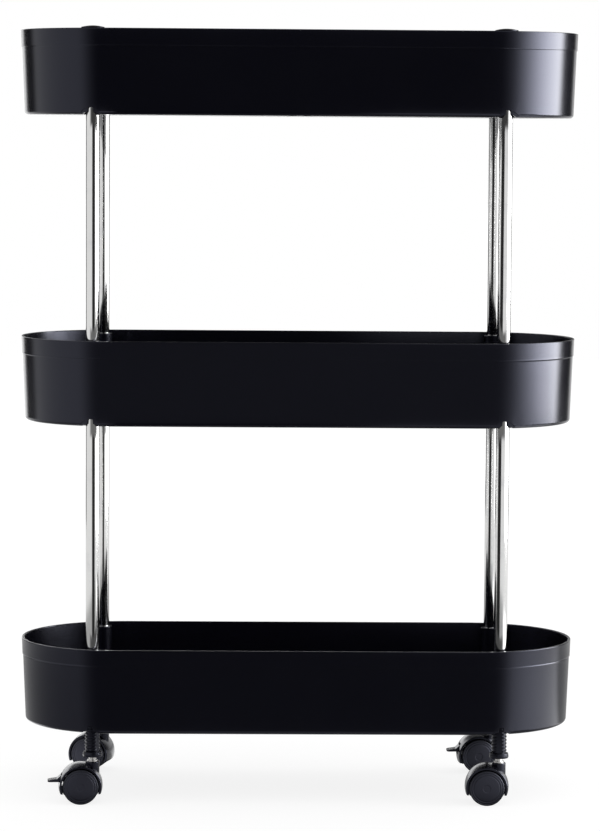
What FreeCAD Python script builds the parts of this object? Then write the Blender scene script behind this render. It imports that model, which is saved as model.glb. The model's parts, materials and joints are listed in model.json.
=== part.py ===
import FreeCAD, Part
import math
import os

# Three tier tray trolley: moulded trays on chromed tube posts, with four twin-wheel casters.
# Millimetres. X runs along the trolley, Y from its front to its rear, Z up from the ground.
# The origin is on the ground, under the middle of the trays.

Vec = FreeCAD.Vector
UP = Vec(0, 0, 1)
ACROSS = Vec(0, 1, 0)
GROUND = Vec(0, 0, 0)

# Trays: one moulding, used three times
TRAY_LENGTH = 610.0
TRAY_WIDTH = 220.0
TRAY_HEIGHT = 92.0
TRAY_WALL = 2.2
TRAY_FLOOR = 2.8
WALL_DRAFT = 3.6          # how far the wall leans in from its top to its foot
BAND_HEIGHT = 18.5        # thicker band under the rim
BAND_STEP = 0.7           # how far the band stands out of the wall
RIM_ROUND = 0.8
FOOT_ROUND = 4.0          # outer rounding where wall and floor meet
INNER_ROUND = 3.0
GROUND_TO_TRAY = 76.6
TIER_PITCH = 334.0

# Sockets for the posts, moulded into each tray
POST_FROM_END = 84.0      # axis of a post from the end of the tray
POST_FROM_SIDE = 17.0     # axis of a post from the side of the tray
SOCKET_WALL = 2.85
SOCKET_BELOW_RIM = 2.8
SOCKET_EDGE = 0.8
SOCKET_WEB = 3.0          # wall across the socket that the tubes stand on
WEB_HEIGHT = 36.0         # underside of that wall above the foot of the tray
WEB_HOLE_GAP = 0.1
ARCH_HALF_WIDTH = 10.0    # low arched opening through the wall under each socket
ARCH_HEIGHT = 3.2
NICHE_SIDE_ROOM = 1.9     # arched niche in the wall round each socket
NICHE_HEIGHT = 8.0
NICHE_DEPTH = 1.2
PAD_WIDTH = 5.0           # thick pad round the foot of each socket
PAD_COVER = 2.5           # how far that pad stands above the niche
PAD_ROUND = 2.0

# Two shallow notches in the front edge of the top tray
NOTCH_WIDTH = 8.5
NOTCH_HEIGHT = 1.2
NOTCH_DEPTH = 9.0
NOTCH_SPACING = 16.0

# Tubes and what plugs into them
TUBE_DIAMETER = 15.0
TUBE_WALL = 0.8
TUBE_GAP = 0.15           # radial room for a tube in its socket
PLUG_GAP = 0.05           # radial room for a plug in a tube
PLUG_LENGTH = 22.0
PLUG_CHAMFER = 1.0
JOINER_FLANGE = 2.0
JOINER_FLANGE_INSET = 0.2  # from the outside of the tube
CAP_OVERHANG = 2.0        # head of the cap past the outside of the socket
CAP_EDGE = 0.8
CAP_RISE = 2.7            # crown of the cap above the rim
CAP_HUB_INSET = 0.7       # hub of the cap inside the outside of the socket
CAP_GAP = 0.1

# Threaded studs under the bottom tray, each with the socket of a caster
THREAD_DIAMETER = 16.6
THREAD_GAP = 0.3          # radial room for the thread in the socket
THREAD_DEPTH = 0.9
THREAD_PITCH = 3.75
THREAD_FLANK = 0.3        # width of each sloping side, as a share of the pitch
THREAD_CREST = 0.3        # width of the flat top, as a share of the pitch
THREAD_ROOT = 0.1         # flat before the first slope, as a share of the pitch
FLAT_DEPTH = 1.35         # how far the two moulded flats cut into the thread
STUD_TURN = {"front_left": 55.0, "front_right": 0.0, "rear_left": 20.0, "rear_right": 75.0}
COLLAR_DIAMETER = 21.0
COLLAR_HEIGHT = 5.4
COLLAR_ROUND = 1.0
COLLAR_TO_CASTER = 5.2    # open height between a collar and the caster under it
STEM_SOCKET_DEPTH = 38.0

# Casters. In their own frame they roll towards +X, with the swivel axis at the origin
WHEEL_DIAMETER = 38.3
WHEEL_WIDTH = 13.4        # across the tread
WHEEL_SIDE_GAP = 0.6      # from the plate between the wheels to each wheel
WHEEL_CROWN = 1.2         # how far the domed face stands out
WHEEL_ROUND = 1.3
WHEEL_INNER_EDGE = 0.5
WHEEL_RIM = 3.6
WHEEL_DISC = 3.8
WHEEL_FACE_INSET = 2.2    # edge of the domed face in from the tread
HUB_WALL = 3.5
AXLE_DIAMETER = 4.0
AXLE_END_GAP = 0.2
TRAIL = 13.0              # from the swivel axis back to the axle
HOOD_WALL = 2.1
HOOD_CROWN = 1.2          # how much further the middle of the hood stands out
HOOD_SIDE_INSET = 1.0     # sides of the hood in from the wheels' outer faces
HOOD_GAP = 1.5            # from the treads to the inside of the hood
HOOD_END_HEIGHT = 11.5    # ends of the hood above the ground
HOOD_EDGE = 0.5
WEB_WIDTH = 8.0           # plate between the twin wheels
WEB_BITE = 0.2            # how far that plate runs into the fender
WEB_END_HEIGHT = 8.5
STEM_DIAMETER = 8.0
STEM_BOSS_WALL = 3.5
STEM_BOSS_RISE = 2.0      # top of the boss above the crown of the hood
STEM_BOSS_ROUND = 1.0
STEM_TAIL_STEP = 1.5
STEM_TAIL_LENGTH = 14.5
STEM_SEAT_DEPTH = 7.5
STEM_SHOULDER_STEP = 1.6
STEM_SHOULDER = 1.6
STEM_END_GAP = 0.1
RING_GROOVE_DEPTH = 0.7
RING_HEIGHT = 1.9
RING_BELOW_TOP = 6.0
RING_SPLIT = 1.2
RING_GAP = 0.03
CASTER_TURN = {"front_left": 4.0, "front_right": -2.0, "rear_left": -12.0, "rear_right": 3.0}
BRAKED = ("front_left", "rear_right")

# Fits
PRESS_GAP = 0.02
RUNNING_GAP = 0.06

# Brake lever, in the frame of its caster
PEDAL_START = 0.8         # root of the pedal outside the hood's inner face
PEDAL_LENGTH = 14.3
PEDAL_BELOW_PIN = 2.5     # underside of the pedal below the brake pin
PEDAL_ROOT_HEIGHT = 7.0
PEDAL_HEEL = (4.2, 3.3)   # run of the steep slope at the root, and the height at its end
PEDAL_TIP_HEIGHT = 1.8
PEDAL_TOE = (0.8, 0.4)    # chamfer under the tip
PEDAL_WIDTH = 13.0
PEDAL_CORNER = 3.5
PIVOT_BACK = 13.0         # from the axle back to the brake pin
PIVOT_ABOVE = 6.5         # from the axle up to the brake pin
BRAKE_PIN_DIAMETER = 2.5
LEVER_WIDTH = 4.0
LEVER_BOSS_DIAMETER = 8.0
LEVER_SIDE_GAP = 0.3
LEVER_BITE = 1.0          # how far the arm runs into the pedal
BAR_BACK = 6.0            # from the axle back to the brake bar
BAR_ABOVE = 9.0
BAR_DIAMETER = 2.8
BAR_LENGTH = 16.0
BAR_EYE_WALL = 1.2
LEVER_ROOM = 1.0          # room round the moving bar and its eye
BRAKE_ANGLE = 14.0        # how far the pedal goes down
WINDOW_BELOW = 3.4        # window in the hood past the underside of the pedal
WINDOW_ABOVE = 2.1        # and past its top
WINDOW_SIDE = 0.7         # and past its two sides
PLATE_PAST_PIN = 5.0      # rear end of the plate behind the brake pin
PIN_END_INSET = 0.1
CLEAR = 1.0               # how far a cutting shape runs past what it cuts

# Worked out from the sizes above
HALF_LENGTH = TRAY_LENGTH / 2
END_RADIUS = TRAY_WIDTH / 2
POST_X = HALF_LENGTH - POST_FROM_END
POST_Y = END_RADIUS - POST_FROM_SIDE
TUBE_RADIUS = TUBE_DIAMETER / 2
TUBE_BORE = TUBE_RADIUS - TUBE_WALL
PLUG_RADIUS = TUBE_BORE - PLUG_GAP
SOCKET_BORE = TUBE_RADIUS + TUBE_GAP
SOCKET_RADIUS = SOCKET_BORE + SOCKET_WALL
SOCKET_TOP = TRAY_HEIGHT - SOCKET_BELOW_RIM
NICHE_HALF_WIDTH = SOCKET_RADIUS + NICHE_SIDE_ROOM
PAD_RADIUS = SOCKET_RADIUS + PAD_WIDTH
PAD_HEIGHT = NICHE_HEIGHT + PAD_COVER
THREAD_RADIUS = THREAD_DIAMETER / 2
STUD_BORE = THREAD_RADIUS + THREAD_GAP
WEB_TOP = WEB_HEIGHT + SOCKET_WEB
AXLE_HEIGHT = WHEEL_DIAMETER / 2
AXLE = Vec(-TRAIL, 0, AXLE_HEIGHT)
WHEEL_RADIUS = WHEEL_DIAMETER / 2
WHEEL_INNER_FACE = WEB_WIDTH / 2 + WHEEL_SIDE_GAP
WHEEL_OUTER_FACE = WHEEL_INNER_FACE + WHEEL_WIDTH
POCKET_RADIUS = WHEEL_RADIUS + HOOD_GAP
HOOD_RADIUS = POCKET_RADIUS + HOOD_WALL
HOOD_SIDE = WHEEL_OUTER_FACE - HOOD_SIDE_INSET
HOOD_REACH = 2 * HOOD_RADIUS
STEM_RADIUS = STEM_DIAMETER / 2
STEM_TAIL_RADIUS = STEM_RADIUS - STEM_TAIL_STEP
BOSS_TOP = AXLE_HEIGHT + HOOD_RADIUS + HOOD_CROWN + STEM_BOSS_RISE
COLLAR_FOOT = BOSS_TOP + COLLAR_TO_CASTER
COLLAR_TOP = COLLAR_FOOT + COLLAR_HEIGHT
STEM_TOP = COLLAR_FOOT + STEM_SOCKET_DEPTH - STEM_END_GAP
AXLE_REACH = WHEEL_OUTER_FACE + WHEEL_CROWN - WHEEL_DISC
PIVOT = Vec(AXLE.x - PIVOT_BACK, 0, AXLE.z + PIVOT_ABOVE)
BAR = Vec(AXLE.x - BAR_BACK, 0, AXLE.z + BAR_ABOVE)
BAR_EYE_RADIUS = BAR_DIAMETER / 2 + BAR_EYE_WALL
PEDAL_ROOT = AXLE.x - POCKET_RADIUS - PEDAL_START
PEDAL_TIP = PEDAL_ROOT - PEDAL_LENGTH
PEDAL_FOOT = PIVOT.z - PEDAL_BELOW_PIN
PEDAL_TOP = PEDAL_FOOT + PEDAL_ROOT_HEIGHT

TIERS = {
    "bottom": GROUND_TO_TRAY,
    "middle": GROUND_TO_TRAY + TIER_PITCH,
    "top": GROUND_TO_TRAY + 2 * TIER_PITCH,
}
CORNERS = {
    "front_left": (-POST_X, -POST_Y),
    "front_right": (POST_X, -POST_Y),
    "rear_left": (-POST_X, POST_Y),
    "rear_right": (POST_X, POST_Y),
}


def save(shape, name):
    """Write one piece to its own file."""
    shape.exportStep("parts/%s.step" % name)


def pressed(point):
    """Where a point of the brake lever goes when the pedal is pushed down."""
    angle = math.radians(BRAKE_ANGLE)
    back = point.x - PIVOT.x
    above = point.z - PIVOT.z
    x = PIVOT.x + back * math.cos(angle) - above * math.sin(angle)
    z = PIVOT.z + back * math.sin(angle) + above * math.cos(angle)
    return Vec(x, point.y, z)


def edges_at(shape, height):
    """The edges of a shape that lie flat at one height."""
    near = 1e-4
    flat = []
    for edge in shape.Edges:
        box = edge.BoundBox
        if abs(box.ZMin - height) < near and abs(box.ZMax - height) < near:
            flat.append(edge)
    return flat


def post(radius, low, high, x=0.0, y=0.0):
    """An upright round bar from one height to another."""
    return Part.makeCylinder(radius, high - low, Vec(x, y, low), UP)


def cross_bar(radius, reach, centre):
    """A round bar across the caster, reaching as far to each side of its middle plane."""
    return Part.makeCylinder(radius, 2 * reach, Vec(centre.x, -reach, centre.z), ACROSS)


def block(x, y, z):
    """A box between two limits along each axis."""
    return Part.makeBox(x[1] - x[0], y[1] - y[0], z[1] - z[0], Vec(x[0], y[0], z[0]))


def turned(points):
    """A solid turned about Z from a list of (radius, height) points."""
    outline = Part.makePolygon([Vec(r, 0, z) for r, z in points + points[:1]])
    return Part.Face(outline).revolve(GROUND, UP, 360)


# ---------------------------------------------------------------- trays

def stadium(radius, height):
    """Closed outline with straight sides and half-round ends, set in by the end radius."""
    centre = HALF_LENGTH - END_RADIUS
    corners = [
        Vec(-centre, -radius, height),
        Vec(centre, -radius, height),
        Vec(centre, radius, height),
        Vec(-centre, radius, height),
    ]
    right = Vec(centre + radius, 0, height)
    left = Vec(-centre - radius, 0, height)
    return Part.Wire([
        Part.makeLine(corners[0], corners[1]),
        Part.Arc(corners[1], right, corners[2]).toShape(),
        Part.makeLine(corners[2], corners[3]),
        Part.Arc(corners[3], left, corners[0]).toShape(),
    ])


def wall_radius(height):
    """End radius of the plain wall's outer face at a height in the tray."""
    lean = WALL_DRAFT * (1 - height / TRAY_HEIGHT)
    return END_RADIUS - BAND_STEP - lean


def drafted(low, high, offset):
    """A drafted stadium block whose face lies a fixed way in or out of the wall's face."""
    wires = [stadium(wall_radius(z) + offset, z) for z in (low, high)]
    return Part.makeLoft(wires, True, True)


def tray_blank():
    """The outside of the tray as one block: drafted wall, rounded foot and thicker band."""
    body = drafted(0, TRAY_HEIGHT, 0)
    body = body.makeFillet(FOOT_ROUND, edges_at(body, 0))
    return body.fuse(drafted(TRAY_HEIGHT - BAND_HEIGHT, TRAY_HEIGHT, BAND_STEP))


def tray_hollow():
    """The space inside the tray, with the sockets and their pads left standing in it."""
    hollow = drafted(TRAY_FLOOR, TRAY_HEIGHT, -TRAY_WALL)
    hollow = hollow.makeFillet(INNER_ROUND, edges_at(hollow, TRAY_FLOOR))
    for x, y in CORNERS.values():
        socket = post(SOCKET_RADIUS, 0, SOCKET_TOP, x, y)
        socket = socket.makeFillet(SOCKET_EDGE, edges_at(socket, SOCKET_TOP))
        pad = post(PAD_RADIUS, 0, PAD_HEIGHT, x, y)
        pad = pad.makeFillet(PAD_ROUND, edges_at(pad, PAD_HEIGHT))
        hollow = hollow.cut(socket).cut(pad)
    return hollow


def arch(x, y, half_width, height):
    """An arched block from the axis of one socket out through the wall in front of it."""
    end_centre = math.copysign(HALF_LENGTH - END_RADIUS, x)
    outward = Vec(x - end_centre, y, 0).normalize()
    along = Vec(-outward.y, outward.x, 0)
    axis = Vec(x, y, 0)
    left = axis - along * half_width
    right = axis + along * half_width
    crown = axis + UP * height
    below = UP * -CLEAR
    outline = Part.Wire([
        Part.makeLine(left + below, left),
        Part.Arc(left, crown, right).toShape(),
        Part.makeLine(right, right + below),
        Part.makeLine(right + below, left + below),
    ])
    return Part.Face(outline).extrude(outward * 2 * PAD_RADIUS)


def make_tray():
    """The tray at ground level: block less hollow, bores, web holes, niches and arches."""
    tray = tray_blank().cut(tray_hollow())
    tray = tray.makeFillet(RIM_ROUND, edges_at(tray, TRAY_HEIGHT))
    niche_back = drafted(-CLEAR, TRAY_HEIGHT, -NICHE_DEPTH)
    for x, y in CORNERS.values():
        tray = tray.cut(post(STUD_BORE, -CLEAR, WEB_HEIGHT, x, y))
        tray = tray.cut(post(SOCKET_BORE, WEB_TOP, TRAY_HEIGHT, x, y))
        tray = tray.cut(post(PLUG_RADIUS + WEB_HOLE_GAP, WEB_HEIGHT, WEB_TOP, x, y))
        tray = tray.cut(arch(x, y, NICHE_HALF_WIDTH, NICHE_HEIGHT).cut(niche_back))
        tray = tray.cut(arch(x, y, ARCH_HALF_WIDTH, ARCH_HEIGHT))
    return tray


def edge_notch(side):
    """One of the two shallow notches in the front edge of the top tray."""
    middle = side * NOTCH_SPACING / 2
    front = -wall_radius(0) - CLEAR
    return block(
        (middle - NOTCH_WIDTH / 2, middle + NOTCH_WIDTH / 2),
        (front, front + NOTCH_DEPTH),
        (-CLEAR, NOTCH_HEIGHT),
    )


# ---------------------------------------------------------------- tubes and plugs

def make_tube(low, high):
    """A tube standing on the swivel axis of its corner."""
    return post(TUBE_RADIUS, low, high).cut(post(TUBE_BORE, low, high))


def make_joiner(seat):
    """Double plug that joins two tubes through a web, its flange lying on the web."""
    flange = TUBE_RADIUS - JOINER_FLANGE_INSET
    tip = PLUG_RADIUS - PLUG_CHAMFER
    low = seat - SOCKET_WEB - PLUG_LENGTH
    high = seat + JOINER_FLANGE + PLUG_LENGTH
    return turned([
        (0, low),
        (tip, low),
        (PLUG_RADIUS, low + PLUG_CHAMFER),
        (PLUG_RADIUS, seat),
        (flange, seat),
        (flange, seat + JOINER_FLANGE),
        (PLUG_RADIUS, seat + JOINER_FLANGE),
        (PLUG_RADIUS, high - PLUG_CHAMFER),
        (tip, high),
        (0, high),
    ])


def make_cap(seat, socket_top, rim):
    """Domed cap whose hub stands on the socket and whose plug goes down into the tube."""
    plug_low = seat - SOCKET_WEB - PLUG_LENGTH
    tip = PLUG_RADIUS - PLUG_CHAMFER
    head = SOCKET_RADIUS + CAP_OVERHANG
    hub = SOCKET_RADIUS - CAP_HUB_INSET
    under = rim + CAP_GAP
    body = turned([
        (0, plug_low),
        (tip, plug_low),
        (PLUG_RADIUS, plug_low + PLUG_CHAMFER),
        (PLUG_RADIUS, seat),
        (TUBE_RADIUS, seat),
        (TUBE_RADIUS, socket_top),
        (hub, socket_top),
        (hub, under),
        (head, under),
        (head, under + CAP_EDGE),
        (0, under + CAP_EDGE),
    ])
    rise = CAP_RISE - CAP_GAP - CAP_EDGE
    dome_radius = (head ** 2 + rise ** 2) / (2 * rise)
    crown = Part.makeSphere(dome_radius, Vec(0, 0, rim + CAP_RISE - dome_radius))
    return body.fuse(crown.common(post(head, under, rim + CAP_RISE + CLEAR))).removeSplitter()


def make_stud(web_foot, turn):
    """Threaded stud with moulded flats, a collar, a tube plug and the bore for a stem."""
    major = THREAD_RADIUS
    minor = major - THREAD_DEPTH
    top = web_foot + SOCKET_WEB + PLUG_LENGTH
    turns = int((web_foot - COLLAR_TOP) / THREAD_PITCH)
    outline = [
        (0, COLLAR_FOOT),
        (COLLAR_DIAMETER / 2, COLLAR_FOOT),
        (COLLAR_DIAMETER / 2, COLLAR_TOP),
        (minor, COLLAR_TOP),
    ]
    for count in range(turns):
        start = web_foot - (turns - count) * THREAD_PITCH
        rise = start + THREAD_ROOT * THREAD_PITCH
        crest = rise + THREAD_FLANK * THREAD_PITCH
        fall = crest + THREAD_CREST * THREAD_PITCH
        outline += [
            (minor, rise),
            (major, crest),
            (major, fall),
            (minor, fall + THREAD_FLANK * THREAD_PITCH),
        ]
    outline += [
        (PLUG_RADIUS, web_foot),
        (PLUG_RADIUS, top - PLUG_CHAMFER),
        (PLUG_RADIUS - PLUG_CHAMFER, top),
        (0, top),
    ]
    stud = turned(outline)
    stud = stud.makeFillet(COLLAR_ROUND, edges_at(stud, COLLAR_FOOT))
    flat = major - FLAT_DEPTH
    stud = stud.cut(block((-major, major), (-2 * major, -flat), (COLLAR_TOP, web_foot)))
    stud = stud.cut(block((-major, major), (flat, 2 * major), (COLLAR_TOP, web_foot)))
    bore = STEM_RADIUS + RUNNING_GAP
    stud = stud.cut(post(bore, COLLAR_FOOT, COLLAR_FOOT + STEM_SOCKET_DEPTH))
    return stud.rotate(GROUND, UP, turn)


# ---------------------------------------------------------------- casters

def make_stem():
    """Steel swivel stem: tail and seat in the hood, shoulder, shank, and a ring groove."""
    shank = STEM_RADIUS
    tail = STEM_TAIL_RADIUS
    shoulder = shank + STEM_SHOULDER_STEP
    seat = BOSS_TOP - STEM_SEAT_DEPTH
    groove = STEM_TOP - RING_BELOW_TOP
    groove_radius = shank - RING_GROOVE_DEPTH
    return turned([
        (0, seat - STEM_TAIL_LENGTH),
        (tail, seat - STEM_TAIL_LENGTH),
        (tail, seat),
        (shank, seat),
        (shank, BOSS_TOP),
        (shoulder, BOSS_TOP),
        (shoulder, BOSS_TOP + STEM_SHOULDER),
        (shank, BOSS_TOP + STEM_SHOULDER),
        (shank, groove - RING_HEIGHT),
        (groove_radius, groove - RING_HEIGHT),
        (groove_radius, groove),
        (shank, groove),
        (shank, STEM_TOP - PLUG_CHAMFER),
        (shank - PLUG_CHAMFER, STEM_TOP),
        (0, STEM_TOP),
    ])


def make_grip_ring():
    """Split spring ring that lies in the stem's groove and holds it in the stud."""
    high = STEM_TOP - RING_BELOW_TOP - RING_GAP
    low = high - RING_HEIGHT + 2 * RING_GAP
    inner = STEM_RADIUS - RING_GROOVE_DEPTH + RING_GAP
    ring = post(STEM_RADIUS, low, high).cut(post(inner, low, high))
    split = block((0, STEM_DIAMETER), (-RING_SPLIT / 2, RING_SPLIT / 2), (low, high))
    return ring.cut(split)


def about_axle(points, crown=None):
    """A solid turned about the axle from (side, radius) points.

    With a crown (side, radius), the stretch from the last point back to the first is an arc.
    """
    def place(side, radius):
        return Vec(AXLE.x, side, AXLE.z + radius)

    edges = [Part.makeLine(place(*a), place(*b)) for a, b in zip(points, points[1:])]
    if crown:
        edges.append(Part.Arc(place(*points[-1]), place(*crown), place(*points[0])).toShape())
    else:
        edges.append(Part.makeLine(place(*points[-1]), place(*points[0])))
    face = Part.Face(Part.Wire(edges))
    return face.revolve(AXLE, ACROSS, 360)


def make_wheel(side):
    """One of the twin wheels: tread, domed face, hub with a blind bore, open inner side."""
    inner = WHEEL_INNER_FACE
    outer = WHEEL_OUTER_FACE
    recess = outer - WHEEL_DISC
    bore = AXLE_DIAMETER / 2 + RUNNING_GAP
    bore_end = AXLE_REACH + AXLE_END_GAP
    face = WHEEL_RADIUS - WHEEL_FACE_INSET
    hub = AXLE_DIAMETER / 2 + HUB_WALL
    corner = WHEEL_ROUND * (1 - math.sqrt(0.5))
    wheel = about_axle([
        (side * outer, face),
        (side * outer, WHEEL_RADIUS - WHEEL_ROUND),
        (side * (outer - corner), WHEEL_RADIUS - corner),
        (side * (outer - WHEEL_ROUND), WHEEL_RADIUS),
        (side * (inner + WHEEL_INNER_EDGE), WHEEL_RADIUS),
        (side * inner, WHEEL_RADIUS - WHEEL_INNER_EDGE),
        (side * inner, WHEEL_RADIUS - WHEEL_RIM),
        (side * recess, WHEEL_RADIUS - WHEEL_RIM),
        (side * recess, hub),
        (side * inner, hub),
        (side * inner, bore),
        (side * bore_end, bore),
        (side * bore_end, 0),
        (side * outer, 0),
    ])
    dome_radius = (face ** 2 + WHEEL_CROWN ** 2) / (2 * WHEEL_CROWN)
    apex = outer + WHEEL_CROWN
    ball = Part.makeSphere(dome_radius, Vec(AXLE.x, side * (apex - dome_radius), AXLE.z))
    core = cross_bar(face, outer - CLEAR, AXLE)
    mirror_half = block(
        (AXLE.x - WHEEL_RADIUS, AXLE.x + WHEEL_RADIUS),
        sorted((0, -side * (apex + CLEAR))),
        (0, WHEEL_DIAMETER),
    )
    cap = cross_bar(face, apex + CLEAR, AXLE).common(ball).cut(core).cut(mirror_half)
    return wheel.fuse(cap).removeSplitter()


def hood_shell():
    """Crowned fender over both wheels, open at its sides and under its two ends."""
    side = HOOD_SIDE
    edge = HOOD_RADIUS
    shell = about_axle([
        (-side + HOOD_EDGE, edge),
        (-side, edge - HOOD_EDGE),
        (-side, POCKET_RADIUS),
        (side, POCKET_RADIUS),
        (side, edge - HOOD_EDGE),
        (side - HOOD_EDGE, edge),
    ], crown=(0, edge + HOOD_CROWN))
    return shell.cut(below_hood(HOOD_END_HEIGHT))


def below_hood(height):
    """Everything under the hood up to a height above the ground."""
    return block((AXLE.x - HOOD_REACH, HOOD_REACH), (-HOOD_REACH, HOOD_REACH), (-HOOD_REACH, height))


def make_hood(braked):
    """Hood body: fender, plate between the wheels, stem boss, and the room for a lever."""
    pocket = cross_bar(POCKET_RADIUS, HOOD_REACH, AXLE)
    shell = hood_shell()
    web = cross_bar(POCKET_RADIUS + WEB_BITE, WEB_WIDTH / 2, AXLE)
    web = web.cut(below_hood(WEB_END_HEIGHT))
    if braked:
        back = AXLE.x - HOOD_REACH
        side = PEDAL_WIDTH / 2 + WINDOW_SIDE
        low = PEDAL_FOOT - WINDOW_BELOW
        high = PEDAL_TOP + WINDOW_ABOVE
        shell = shell.cut(block((back, AXLE.x), (-side, side), (low, high)))
        web = web.cut(block((back, PIVOT.x - PLATE_PAST_PIN), (-side, side), (low - CLEAR, high + CLEAR)))
    boss = post(STEM_RADIUS + STEM_BOSS_WALL, AXLE.z, BOSS_TOP)
    boss = boss.makeFillet(STEM_BOSS_ROUND, edges_at(boss, BOSS_TOP))
    hood = shell.fuse(web).fuse(boss.cut(pocket)).removeSplitter()
    seat = BOSS_TOP - STEM_SEAT_DEPTH
    hood = hood.cut(post(STEM_RADIUS + PRESS_GAP, seat, BOSS_TOP))
    hood = hood.cut(post(STEM_TAIL_RADIUS + PRESS_GAP, seat - STEM_TAIL_LENGTH, seat))
    hood = hood.cut(cross_bar(AXLE_DIAMETER / 2 + PRESS_GAP, WEB_WIDTH, AXLE))
    if braked:
        hood = hood.cut(lever_room())
        hood = hood.cut(cross_bar(BRAKE_PIN_DIAMETER / 2 + PRESS_GAP, WEB_WIDTH, PIVOT))
    return hood


def lever_room():
    """The slot in the plate for the lever's arm, and the window that its bar moves in."""
    slot = LEVER_WIDTH / 2 + LEVER_SIDE_GAP
    eye = BAR_EYE_RADIUS + LEVER_ROOM
    inside = block(
        (AXLE.x - HOOD_REACH, BAR.x + eye),
        (-slot, slot),
        (PEDAL_FOOT - LEVER_BOSS_DIAMETER / 2, pressed(BAR).z + eye),
    )
    room = inside.common(cross_bar(POCKET_RADIUS + WEB_BITE, slot, AXLE))
    for place in (BAR, pressed(BAR)):
        room = room.fuse(cross_bar(BAR_DIAMETER / 2 + LEVER_ROOM, WEB_WIDTH / 2, place))
    return room


def side_plate(points, reach):
    """A plate cut to an outline of (back, height) points, reaching as far to each side."""
    outline = Part.makePolygon([Vec(x, -reach, z) for x, z in points + points[:1]])
    return Part.Face(outline).extrude(Vec(0, 2 * reach, 0))


def is_tip_corner(edge):
    """Whether an edge of the pedal is one of the two upright ones at its tip."""
    box = edge.BoundBox
    return abs(box.XMax - PEDAL_TIP) < PEDAL_TIP_HEIGHT / 10 and box.ZLength > PEDAL_TIP_HEIGHT / 2


def make_lever():
    """Brake lever: wedge pedal outside the hood, arm on the pin, bar between the wheels."""
    heel_run, heel_height = PEDAL_HEEL
    toe_run, toe_rise = PEDAL_TOE
    pedal = side_plate([
        (PEDAL_ROOT, PEDAL_FOOT),
        (PEDAL_ROOT, PEDAL_TOP),
        (PEDAL_ROOT - heel_run, PEDAL_FOOT + heel_height),
        (PEDAL_TIP, PEDAL_FOOT + PEDAL_TIP_HEIGHT),
        (PEDAL_TIP, PEDAL_FOOT + toe_rise),
        (PEDAL_TIP + toe_run, PEDAL_FOOT),
    ], PEDAL_WIDTH / 2)
    corners = [edge for edge in pedal.Edges if is_tip_corner(edge)]
    pedal = pedal.makeFillet(PEDAL_CORNER, corners)
    boss = LEVER_BOSS_DIAMETER / 2
    eye = BAR_EYE_RADIUS
    inside_pedal = PEDAL_ROOT - LEVER_BITE
    arm = side_plate([
        (PIVOT.x, PIVOT.z + boss),
        (inside_pedal, PEDAL_TOP - LEVER_BITE),
        (inside_pedal, PEDAL_FOOT + LEVER_BITE / 2),
        (PIVOT.x, PIVOT.z - boss),
        (BAR.x, BAR.z - eye),
        (BAR.x, BAR.z + eye),
    ], LEVER_WIDTH / 2)
    lever = pedal.fuse(arm)
    lever = lever.fuse(cross_bar(boss, LEVER_WIDTH / 2, PIVOT))
    lever = lever.fuse(cross_bar(eye, LEVER_WIDTH / 2, BAR))
    lever = lever.fuse(cross_bar(BAR_DIAMETER / 2, BAR_LENGTH / 2, BAR)).removeSplitter()
    return lever.cut(cross_bar(BRAKE_PIN_DIAMETER / 2 + RUNNING_GAP, LEVER_WIDTH, PIVOT))


def caster_pieces(braked):
    """All the pieces of one caster in its own frame, by name."""
    pieces = {
        "stem": make_stem(),
        "grip_ring": make_grip_ring(),
        "hood": make_hood(braked),
        "axle": cross_bar(AXLE_DIAMETER / 2, AXLE_REACH, AXLE),
        "wheel_left": make_wheel(1),
        "wheel_right": make_wheel(-1),
    }
    if braked:
        pin_reach = WEB_WIDTH / 2 - PIN_END_INSET
        pieces["brake_pin"] = cross_bar(BRAKE_PIN_DIAMETER / 2, pin_reach, PIVOT)
        pieces["brake_lever"] = make_lever()
    return pieces


# ---------------------------------------------------------------- the whole trolley

def main():
    os.makedirs("parts", exist_ok=True)

    tray = make_tray()
    for tier, height in TIERS.items():
        piece = tray.copy()
        if tier == "top":
            piece = piece.cut(edge_notch(-1)).cut(edge_notch(1))
        piece.translate(UP * height)
        save(piece, tier + "_tray")

    low_seat = TIERS["bottom"] + WEB_TOP
    mid_seat = TIERS["middle"] + WEB_TOP
    top_seat = TIERS["top"] + WEB_TOP
    lower_tube = make_tube(low_seat, mid_seat - SOCKET_WEB)
    upper_tube = make_tube(mid_seat + JOINER_FLANGE, top_seat - SOCKET_WEB)
    joiner = make_joiner(mid_seat)
    cap = make_cap(top_seat, TIERS["top"] + SOCKET_TOP, TIERS["top"] + TRAY_HEIGHT)

    for corner, (x, y) in CORNERS.items():
        at_corner = Vec(x, y, 0)
        stud = make_stud(TIERS["bottom"] + WEB_HEIGHT, STUD_TURN[corner])
        fixed = {
            "lower_post": lower_tube,
            "upper_post": upper_tube,
            "tube_joiner": joiner,
            "post_cap": cap,
            "threaded_stud": stud,
        }
        for name, shape in fixed.items():
            piece = shape.copy()
            piece.translate(at_corner)
            save(piece, corner + "_" + name)
        for name, shape in caster_pieces(corner in BRAKED).items():
            piece = shape.copy()
            piece.rotate(GROUND, UP, CASTER_TURN[corner])
            piece.translate(at_corner)
            save(piece, corner + "_" + name)


main()
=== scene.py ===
import json
import math

import bmesh
import bpy
import numpy as np
from mathutils import Matrix, Vector


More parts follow.
